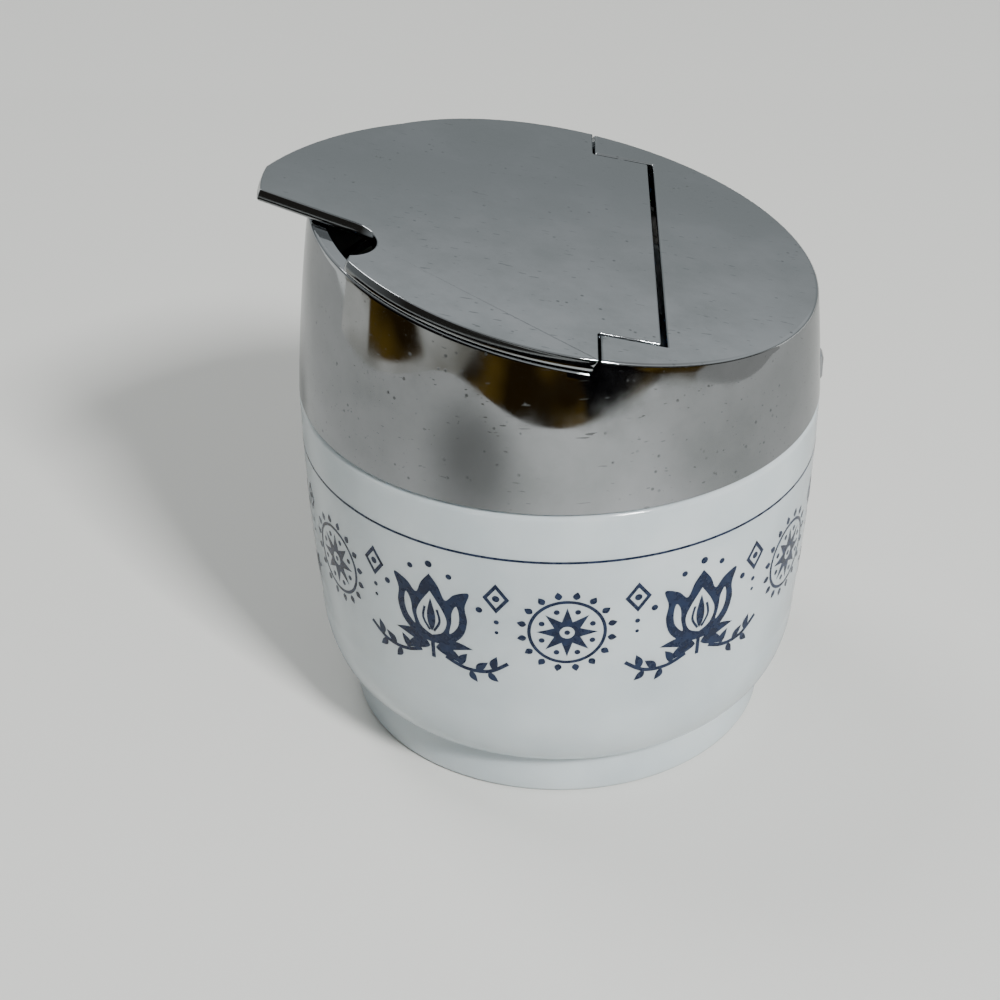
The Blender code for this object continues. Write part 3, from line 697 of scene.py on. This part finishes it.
def hinge_cylinders(name, radius, start, end):
    """Two like cylinders on the hinge's axis, one on either side of the lid's middle."""
    outline = arc((-hinge_back, -hinge_depth), (radius, radius), 0.0, 360.0, 48)[:-1]
    return [prism(name, outline, *ends, crosswise) for ends in ((start, end), (-end, -start))]


def stop_lug(side):
    """A lug on an ear's inner face that the opened flap's tongue comes to rest on."""
    outline = []
    for along, down in ((3.4, 0.3), (4.6, 0.3), (4.6, 2.3), (3.4, 2.3)):
        from_pin = Vector((-along, hinge_depth - flap_thickness - down))
        opened = Matrix.Rotation(flap_opening, 2) @ from_pin
        outline.append((opened.x - hinge_back, opened.y - hinge_depth))
    low, high = sorted((side * (ear_inner - 3.2), side * (ear_inner + 1.0)))
    return prism("stop_lug", outline, low, high, crosswise)


def lid_cutter():
    """All that is taken from the barrel: the hollow and the front opening, less the ears and rib."""
    fillet = 0.3
    levels = [(-3.5, 0.0), (-1.0, 0.0)]
    levels += [(-fillet + fillet * math.sin(math.pi * step / 12),
                fillet * (1.0 - math.cos(math.pi * step / 12)))
               for step in range(7)]
    levels.append((4.0, fillet))
    opening = lofted("front_opening", [opening_ring(level, grow) for level, grow in levels], lid_frame)
    combine(opening, [barrel("rim_plug", rim_level, 0.02)], "DIFFERENCE")
    cutter = combine(lid_hollow(), [opening], "UNION")
    ear_bottom = -hinge_depth - 4.9
    ear_back = -deck_front - rib_width - 0.4
    shy = 0.03
    ear_line = -ear_front - shy
    ear = [(ear_back, -0.5), (ear_line + ear_rake * 0.5, -0.5), (ear_line + ear_rake * 4.5, -4.5),
           (-hinge_back + 2.45, ear_bottom), (ear_back, ear_bottom)]
    rib = block(-deck_front - rib_width, -deck_front - shy, -rib_depth, -0.7)
    ears = [prism("ear", ear, ear_inner + shy, far_out + 5.0, crosswise),
            prism("ear", ear, -far_out - 5.0, -ear_inner - shy, crosswise),
            prism("rib", rib, -ear_inner - 2.0, ear_inner + 2.0, crosswise)]
    combine(cutter, ears + [stop_lug(1.0), stop_lug(-1.0)], "DIFFERENCE")
    sockets = hinge_cylinders("socket", socket_radius, ear_inner - 1.0, ear_inner + socket_depth)
    return combine(cutter, sockets, "UNION")


shell = barrel("lid_shell_fine", 0.0, 0.0)
nub_low = lid_bottom + 0.05
nub = lofted("grip_nub", [[(barrel_radius(60.8) + out, y, z) for y, z in block(-half, half, low, high)]
                          for out, half, low, high in ((-0.8, 1.6, nub_low, 62.9), (0.25, 1.5, nub_low, 62.8),
                                                       (0.5, 1.2, nub_low + 0.3, 62.5))])
combine(shell, [nub], "UNION")
combine(shell, [lid_cutter()], "DIFFERENCE")
place(shell, 40.0)
keep_top_flat(shell)

# Bright chrome, electroplated over moulded ABS: a cold mirror that the moulding's faint waves bend,
# with pin-prick pits, short hairline scratches from wiping, and smudges that dull it in patches.
plated, tree, shader = new_material("chrome_plated_ABS", {"Metallic": 1.0})
where = add(tree, "TexCoord", output="Object")
smudge = add(tree, "TexNoise", {"Vector": where, "Scale": 75.0, "Detail": 5.0, "Roughness": 0.62})
scratches = []
for turn_z, move_x in ((0.9, 0.0), (2.3, 0.37)):
    stretched = add(tree, "Mapping", {"Vector": where, "Location": (move_x, 0.0, 0.0),
                                      "Rotation": (0.1, 0.2, turn_z), "Scale": (130.0, 1900.0, 1900.0)})
    wiped = add(tree, "TexNoise", {"Vector": stretched, "Scale": 1.0, "Detail": 1.0})
    scratches.append(add(tree, "MapRange", {"Value": wiped, "From Min": 0.735, "From Max": 0.765}))
scratch = add(tree, "Math", dict(enumerate(scratches)), operation="MAXIMUM")
pin_prick = add(tree, "MapRange", {"Value": add(tree, "TexVoronoi", {"Vector": where, "Scale": 520.0}),
                                   "From Min": 0.17, "From Max": 0.09})
pitted = add(tree, "TexNoise", {"Vector": where, "Scale": 140.0, "Detail": 2.0})
pitted = add(tree, "MapRange", {"Value": pitted, "From Min": 0.54, "From Max": 0.60})
pit = add(tree, "Math", {0: pin_prick, 1: pitted}, operation="MULTIPLY")
dull = add(tree, "MapRange", {"Value": smudge, "From Min": 0.40, "From Max": 0.72, "To Min": 0.030,
                              "To Max": 0.15})
dull = add(tree, "Math", {0: scratch, 1: 0.16, 2: dull}, operation="MULTIPLY_ADD")
dull = add(tree, "Math", {0: pit, 1: 0.2, 2: dull}, operation="MULTIPLY_ADD")
tree.links.new(dull, shader.inputs["Roughness"])
greasy = add(tree, "MapRange", {"Value": smudge, "From Min": 0.38, "From Max": 0.66})
film = add(tree, "Mix", {"Factor": greasy, "A": linear("#b0b3b6"), "B": linear("#a2a6a8")}, data_type="RGBA")
marks = add(tree, "Math", {0: add(tree, "Math", {0: pit, 1: 0.6}, operation="MULTIPLY"),
                           1: add(tree, "Math", {0: scratch, 1: 0.45}, operation="MULTIPLY")},
            operation="MAXIMUM")
bright = add(tree, "Mix", {"Factor": marks, "A": film, "B": linear("#5f6466")}, data_type="RGBA")
tree.links.new(bright, shader.inputs["Base Color"])
sag = add(tree, "TexNoise", {"Vector": where, "Scale": 42.0, "Detail": 1.0})
relief = add(tree, "Math", {0: pit, 1: -0.03, 2: sag}, operation="MULTIPLY_ADD")
dent = add(tree, "Bump", {"Height": relief, "Strength": 0.10, "Distance": 0.0004})
tree.links.new(dent, shader.inputs["Normal"])
dress(shell, plated)
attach(shell, "lid")
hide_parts("lid_shell")


# Flap
# A flat plated plate with a pouring lip that overhangs the wall, a notch for a spoon beside it, and a
# tongue that runs back between the ears to two knuckles, through which the pins are pressed.
tongue_back, flap_overhang, lip_reach, lip_end_bow = 15.3, 0.3, 47.2, 0.3
notch_centre, notch_radius = (33.6, 16.2), 5.5
knuckle_radius, knuckle_start, knuckle_end = 1.95, tongue_half - 8.0, tongue_half - 0.02


def top_edge(turn, inset):
    """(u, v) of the lid's top outline at a plan angle, set in from the wall."""
    radius, _ = edge_point(turn, 0.0, inset)
    return radius * math.cos(turn) / math.cos(slant), radius * math.sin(turn)


def edge_turn(reach, side):
    """Plan angle at which the top outline crosses a line of constant u."""
    low, high = 0.0, math.pi
    for _ in range(40):
        middle = (low + high) / 2.0
        if top_edge(middle, -flap_overhang)[0] > reach:
            low = middle
        else:
            high = middle
    return side * (low + high) / 2.0


def rim_run(start, end):
    steps = max(2, math.ceil(abs(end - start) / math.radians(1.25)))
    return [top_edge(start + (end - start) * step / steps, -flap_overhang) for step in range(steps + 1)]


def flap_corners():
    """The flap's plan, counter-clockwise seen from above, as (u, v, rounding) at the lid's top."""
    wing_back = -ear_front + flap_gap
    run = [(wing_back, tongue_half, 0.3)]
    near = rim_run(edge_turn(wing_back, 1.0), edge_turn(32.0, 1.0))
    run += [(near[0][0], near[0][1], 0.25)] + [(u, v, 0.0) for u, v in near[1:-1]]
    run.append((near[-1][0], near[-1][1], 0.6))
    run += [(u, v, 0.0) for u, v in arc(notch_centre, (notch_radius, notch_radius), 108.0, 251.0, 28)]
    run.append((46.9, 5.8, 0.8))
    middle, half = 1.4, 4.4
    tip = []
    for step in range(1, 13):
        share = -1.0 + step / 6
        tip.append((lip_reach - lip_end_bow * share * share, middle - half * share))
    far_start = edge_turn(27.0, -1.0)
    end = Vector(top_edge(far_start, -flap_overhang))
    start = Vector(tip[-1])
    along = end - start
    out = Vector((-along.y, along.x)).normalized()
    out = out if out.x > 0.0 else -out
    flank = []
    for step in range(1, 20):
        share = step / 20
        point = start + along * share + out * 8.8 * share * (1.0 - share)
        flank.append((point.x, point.y))
    run += [(u, v, 0.0) for u, v in tip + flank]
    far = rim_run(far_start, edge_turn(wing_back, -1.0))
    run += [(u, v, 0.0) for u, v in far[:-1]]
    run += [(far[-1][0], far[-1][1], 0.25), (wing_back, -tongue_half, 0.3), (-tongue_back, -tongue_half, 0.6),
            (-tongue_back, tongue_half, 0.6)]
    return run


def flap_plan():
    corners = flap_corners()
    plan = []
    for index, (u, v, rounding) in enumerate(corners):
        if rounding > 0.0:
            before, after = corners[index - 1], corners[(index + 1) % len(corners)]
            reach = min(rounding, (Vector(before[:2]) - Vector((u, v))).length * 0.45,
                        (Vector(after[:2]) - Vector((u, v))).length * 0.45)
            plan += rounded_corner((u, v), before[:2], after[:2], reach, 4)
        else:
            plan.append((u, v))
    return plan


def inset_plan(plan, inset):
    """Move every point of a plan inward by the same distance from both its neighbours' lines."""
    area = sum(a[0] * b[1] - b[0] * a[1] for a, b in zip(plan, plan[1:] + plan[:1]))
    sign = 1.0 if area > 0.0 else -1.0
    moved = []
    for index, point in enumerate(plan):
        before, after = Vector(plan[index - 1]), Vector(plan[(index + 1) % len(plan)])
        first = (Vector(point) - before).normalized()
        last = (after - Vector(point)).normalized()
        inward = (Vector((-first.y, first.x)) + Vector((-last.y, last.x))) * sign
        inward.normalize()
        reach = inset / max(0.5, inward.dot(Vector((-first.y, first.x)) * sign))
        moved.append(tuple(Vector(point) + inward * reach))
    return moved


def flap_rings(plan):
    """Rings from the underside's edge up to the top's: rounded edges, a drafted side, raked wing ends."""
    round_top, round_under, draft = 0.22, 0.30, 0.26
    steps = 6
    levels = []
    for step in range(steps + 1):
        turn = math.pi / 2.0 * step / steps
        levels.append((-flap_thickness + round_under * (1.0 - math.cos(turn)),
                       round_under * (1.0 - math.sin(turn))))
    for step in range(1, 7):
        share = step / 6
        level = -flap_thickness + round_under + (flap_thickness - round_under - round_top) * share
        levels.append((level, draft * share ** 1.5))
    for step in range(1, steps + 1):
        turn = math.pi / 2.0 * step / steps
        levels.append((-round_top + round_top * math.sin(turn), draft + round_top * (1.0 - math.cos(turn))))
    wing_back = -ear_front + flap_gap
    rings = []
    for level, inset in levels:
        ring = []
        for (u, v), (moved_u, moved_v) in zip(plan, inset_plan(plan, inset)):
            on_wing_end = abs(v) > tongue_half - 0.6 and abs(u - wing_back) < 0.4
            ring.append((moved_u + (-ear_rake * level if on_wing_end else 0.0), moved_v, level))
        rings.append(ring)
    return rings


flap = lofted("flap_fine", flap_rings(flap_plan()), lid_frame)
combine(flap, hinge_cylinders("knuckle", knuckle_radius, knuckle_start, knuckle_end), "UNION")
combine(flap, hinge_cylinders("bore", socket_radius, knuckle_start - 4.0, tongue_half + 4.0), "DIFFERENCE")
place(flap, 40.0)
keep_top_flat(flap)
dress(flap, plated)
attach(flap, "flap")
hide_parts("flap")


# Hinge pins
# Two stubs cut from drawn steel wire, pushed through the knuckles from inside the lid into blind
# sockets of the ears. Drawing leaves faint lines along the wire.
drawn_steel, tree, shader = new_material("steel_wire_drawn", {"Metallic": 1.0})
where = add(tree, "TexCoord", output="Object")
along_wire = add(tree, "Mapping", {"Vector": where, "Scale": (9000.0, 200.0, 9000.0)})
lines = add(tree, "TexNoise", {"Vector": along_wire, "Scale": 1.0, "Detail": 2.0})
steel = add(tree, "Mix", {"Factor": lines, "A": linear("#8e8f90"), "B": linear("#b4b5b6")}, data_type="RGBA")
tree.links.new(steel, shader.inputs["Base Color"])
drawn_rough = add(tree, "MapRange", {"Value": lines, "From Min": 0.3, "From Max": 0.7, "To Min": 0.22,
                                     "To Max": 0.38})
tree.links.new(drawn_rough, shader.inputs["Roughness"])
for name in ("hinge_pin_near", "hinge_pin_far"):
    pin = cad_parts[name]
    dress(pin, drawn_steel)


# Table, light and camera
# A pale matt table top under soft light from above, seen from above the front of the jar.
table_top, tree, shader = new_material("painted_board_matt", {
    "Roughness": 0.55, "Base Color": linear("#dcdcd8")})
mesh_bm = bmesh.new()
bmesh.ops.create_grid(mesh_bm, x_segments=1, y_segments=1, size=9000.0)
table = draw("table_top", mesh_bm)
place(table)
dress(table, table_top)

world = bpy.data.worlds.new("soft_room")
bpy.context.scene.world = world
world.use_nodes = True
tree = world.node_tree
direction = add(tree, "TexCoord", output="Generated")
towards = add(tree, "SeparateXYZ", {"Vector": direction}).node.outputs
behind = add(tree, "MapRange", {"Value": towards["Y"], "From Min": -0.45, "From Max": 0.55})
sides = add(tree, "Mix", {"Factor": behind, "A": linear("#302e2b"), "B": linear("#a4a9aa")},
            data_type="RGBA")
slope = add(tree, "Math", {0: towards["X"], 1: 0.3, 2: towards["Z"]}, operation="MULTIPLY_ADD")
low_share = add(tree, "MapRange", {"Value": slope, "From Min": 0.435, "From Max": 0.495})
lower_sky = add(tree, "Mix", {"Factor": low_share, "A": sides, "B": linear("#d0d4d5")}, data_type="RGBA")
high_share = add(tree, "MapRange", {"Value": towards["Z"], "From Min": 0.55, "From Max": 0.80})
sky = add(tree, "Mix", {"Factor": high_share, "A": lower_sky, "B": linear("#a9abab")}, data_type="RGBA")
tree.links.new(sky, tree.nodes["Background"].inputs["Color"])
tree.nodes["Background"].inputs["Strength"].default_value = 1.0

# Painted reflection: glowing cards round the table, which only mirrored rays can see, give the plating
# the room it mirrors beyond the table: a dark card in front, grey ones at the sides and amber patches,
# set as black flags are hung round a shiny thing when it is photographed. They are no lamps.
painted_reflection, tree, shader = new_material("painted_reflection_cards", {})
tree.nodes.remove(shader)
where = add(tree, "TexCoord", output="Object")
spot = add(tree, "SeparateXYZ", {"Vector": where}).node.outputs
patches = add(tree, "TexNoise", {"Vector": where, "Scale": 9.0, "Detail": 1.0})
reach = add(tree, "VectorMath", {0: where}, output="Value", operation="LENGTH")
off_middle = add(tree, "Math", {0: spot["X"], 1: 0.115}, operation="SUBTRACT")
off_middle = add(tree, "Math", {0: off_middle}, operation="ABSOLUTE")
shares = {}
for name, source, none_at, full_at in (
        ("amber light", patches, 0.42, 0.66), ("grey light", patches, 0.40, 0.60),
        ("black width", off_middle, 0.075, 0.062), ("black start", spot["Y"], -0.238, -0.246),
        ("black floor", spot["Y"], -0.36, -0.40), ("amber start", spot["Y"], -0.028, -0.034),
        ("amber side", spot["X"], -0.232, -0.238), ("amber end", spot["Y"], -0.175, -0.160),
        ("right side", spot["X"], -0.01, 0.01), ("front start", spot["Y"], -0.150, -0.156),
        ("front side", spot["X"], -0.186, -0.180), ("far", reach, 0.350, 0.385),
        ("far start", spot["Y"], 0.06, 0.02)):
    shares[name] = add(tree, "MapRange", {"Value": source, "From Min": none_at, "From Max": full_at})
amber = add(tree, "Mix", {"Factor": shares["amber light"], "A": linear("#2a1f0c"), "B": linear("#6e5720")},
            data_type="RGBA")
black_share = add(tree, "Math", {0: shares["black width"], 1: shares["black start"]}, operation="MULTIPLY")
black_share = add(tree, "Math", {0: black_share, 1: shares["black floor"]}, operation="MAXIMUM")
front = add(tree, "Mix", {"Factor": black_share, "A": amber, "B": linear("#050506")}, data_type="RGBA")
left_grey = add(tree, "Mix", {"Factor": shares["grey light"], "A": linear("#8d8a80"), "B": linear("#d0cfc9")},
                data_type="RGBA")
left_amber = add(tree, "Math", {0: shares["amber side"], 1: shares["amber end"]}, operation="MULTIPLY")
left_amber = add(tree, "Math", {0: shares["amber start"], 1: left_amber}, operation="MULTIPLY")
left = add(tree, "Mix", {"Factor": left_amber, "A": left_grey, "B": amber}, data_type="RGBA")
beside = add(tree, "Mix", {"Factor": shares["right side"], "A": left, "B": linear("#a5a5a2")},
             data_type="RGBA")
in_front = add(tree, "Math", {0: shares["front start"], 1: shares["front side"]}, operation="MULTIPLY")
mirrored_room = add(tree, "Mix", {"Factor": in_front, "A": beside, "B": front}, data_type="RGBA")
far_off = add(tree, "Math", {0: shares["far"], 1: shares["far start"]}, operation="MULTIPLY")
faded_room = add(tree, "Mix", {"Factor": far_off, "A": mirrored_room, "B": linear("#08080a")},
                 data_type="RGBA")
# Painted reflection colours: the cards glow only for what the plating and the glass mirror.
glow = add(tree, "Emission", {"Strength": 1.0, "Color": faded_room})
tree.links.new(glow, tree.nodes["Material Output"].inputs["Surface"])


def table_edge(turn):
    """Distance from the jar to the edge of the lit table in a direction, a rounded oblong."""
    reach_x, reach_y = (215.0 if math.cos(turn) > 0.0 else 225.0), 237.0
    power = 5.0
    share_x, share_y = abs(math.cos(turn)) / reach_x, abs(math.sin(turn)) / reach_y
    return (share_x ** power + share_y ** power) ** (-1.0 / power)


mesh_bm = bmesh.new()
card_rings = []
for outer in (False, True):
    ring = []
    for step in range(97):
        turn = math.radians(170.0 + 200.0 * step / 96)
        reach = 1400.0 if outer else table_edge(turn)
        ring.append(mesh_bm.verts.new((reach * math.cos(turn), reach * math.sin(turn), 0.6)))
    card_rings.append(ring)
inner_ring, outer_ring = card_rings
for step in range(96):
    mesh_bm.faces.new((inner_ring[step], outer_ring[step], outer_ring[step + 1], inner_ring[step + 1]))
cards = draw("painted_reflection_cards", mesh_bm)
dress(cards, painted_reflection)

# Painted shade over the table's middle: a sheet that only mirrored rays can see, darker towards its sides
# and round one soft painted shadow on it, takes down what the plating mirrors of the lit table.
painted_shade, tree, shader = new_material("painted_shade_sheet", {})
tree.nodes.remove(shader)
where = add(tree, "TexCoord", output="Object")
sideways = add(tree, "SeparateXYZ", {"Vector": where}).node.outputs["X"]
sideways = add(tree, "Math", {0: sideways}, operation="ABSOLUTE")
# Painted shade: the sheet passes less light the further it lies to either side.
clear = add(tree, "MapRange", {"Value": sideways, "From Min": 0.045, "From Max": 0.150, "To Min": 0.74,
                               "To Max": 0.54})
away = add(tree, "VectorMath", {0: where, 1: (-0.100, -0.165, 0.0003)}, output="Value", operation="DISTANCE")
# Painted shadow: one soft dark patch on the sheet, which the plating mirrors from the table in front.
shade = add(tree, "MapRange", {"Value": away, "From Min": 0.015, "From Max": 0.090, "To Min": 0.42,
                               "To Max": 1.0}, interpolation_type="SMOOTHSTEP")
passed = add(tree, "Math", {0: clear, 1: shade}, operation="MULTIPLY")
veil = add(tree, "BsdfTransparent", {"Color": passed})
tree.links.new(veil, tree.nodes["Material Output"].inputs["Surface"])
mesh_bm = bmesh.new()
bmesh.ops.create_grid(mesh_bm, x_segments=1, y_segments=1, size=260.0)
bmesh.ops.translate(mesh_bm, vec=(0.0, 0.0, 0.3), verts=mesh_bm.verts)
sheet = draw("painted_shade_sheet", mesh_bm)
dress(sheet, painted_shade)
for unseen in (cards, sheet):
    place(unseen)
    for ray_kind in ("camera", "diffuse", "transmission", "volume_scatter", "shadow"):
        setattr(unseen, "visible_" + ray_kind, False)


def area_light(name, target, azimuth_deg, elevation_deg, distance, size, power):
    """A square soft light that looks at a point from an azimuth and elevation."""
    light = bpy.data.lights.new(name, "AREA")
    light.shape = "SQUARE"
    light.size = size
    light.energy = power
    lamp = bpy.data.objects.new(name, light)
    azimuth, elevation = math.radians(azimuth_deg), math.radians(elevation_deg)
    away = Vector((math.cos(azimuth) * math.cos(elevation), math.sin(azimuth) * math.cos(elevation),
                   math.sin(elevation)))
    lamp.location = Vector(target) + away * distance
    lamp.rotation_euler = away.to_track_quat("Z", "Y").to_euler()
    bpy.context.scene.collection.objects.link(lamp)
    return lamp


area_light("key_light", (0.0, 0.0, 0.05), -56.0, 42.0, 1.5, 0.24, 31.0)
area_light("ceiling_light", (0.0, 0.0, 0.05), 140.0, 60.0, 1.5, 0.5, 6.5)

camera_azimuth = math.radians(-90.0 + 1.673)
camera_elevation = math.radians(32.972)
camera_roll = math.radians(-0.557)
camera_distance, camera_aside, camera_up = 389.437, -10.058, 28.648
backward = Vector((math.cos(camera_azimuth) * math.cos(camera_elevation),
                   math.sin(camera_azimuth) * math.cos(camera_elevation), math.sin(camera_elevation)))
level_right = Vector((-math.sin(camera_azimuth), math.cos(camera_azimuth), 0.0))
level_up = backward.cross(level_right)
to_right = level_right * math.cos(camera_roll) + level_up * math.sin(camera_roll)
to_up = level_up * math.cos(camera_roll) - level_right * math.sin(camera_roll)
stand = backward * camera_distance + to_right * camera_aside + to_up * camera_up
camera = bpy.data.cameras.new("camera")
camera.sensor_width = 36.0
camera.lens = 79.2
camera.clip_start = 0.01
viewer = bpy.data.objects.new("camera", camera)
axes = Matrix((to_right, to_up, backward)).transposed().to_4x4()
viewer.matrix_world = Matrix.Translation(stand * millimetre + Vector((jar_axis, 0.0, 0.0))) @ axes
bpy.context.scene.collection.objects.link(viewer)
bpy.context.scene.camera = viewer
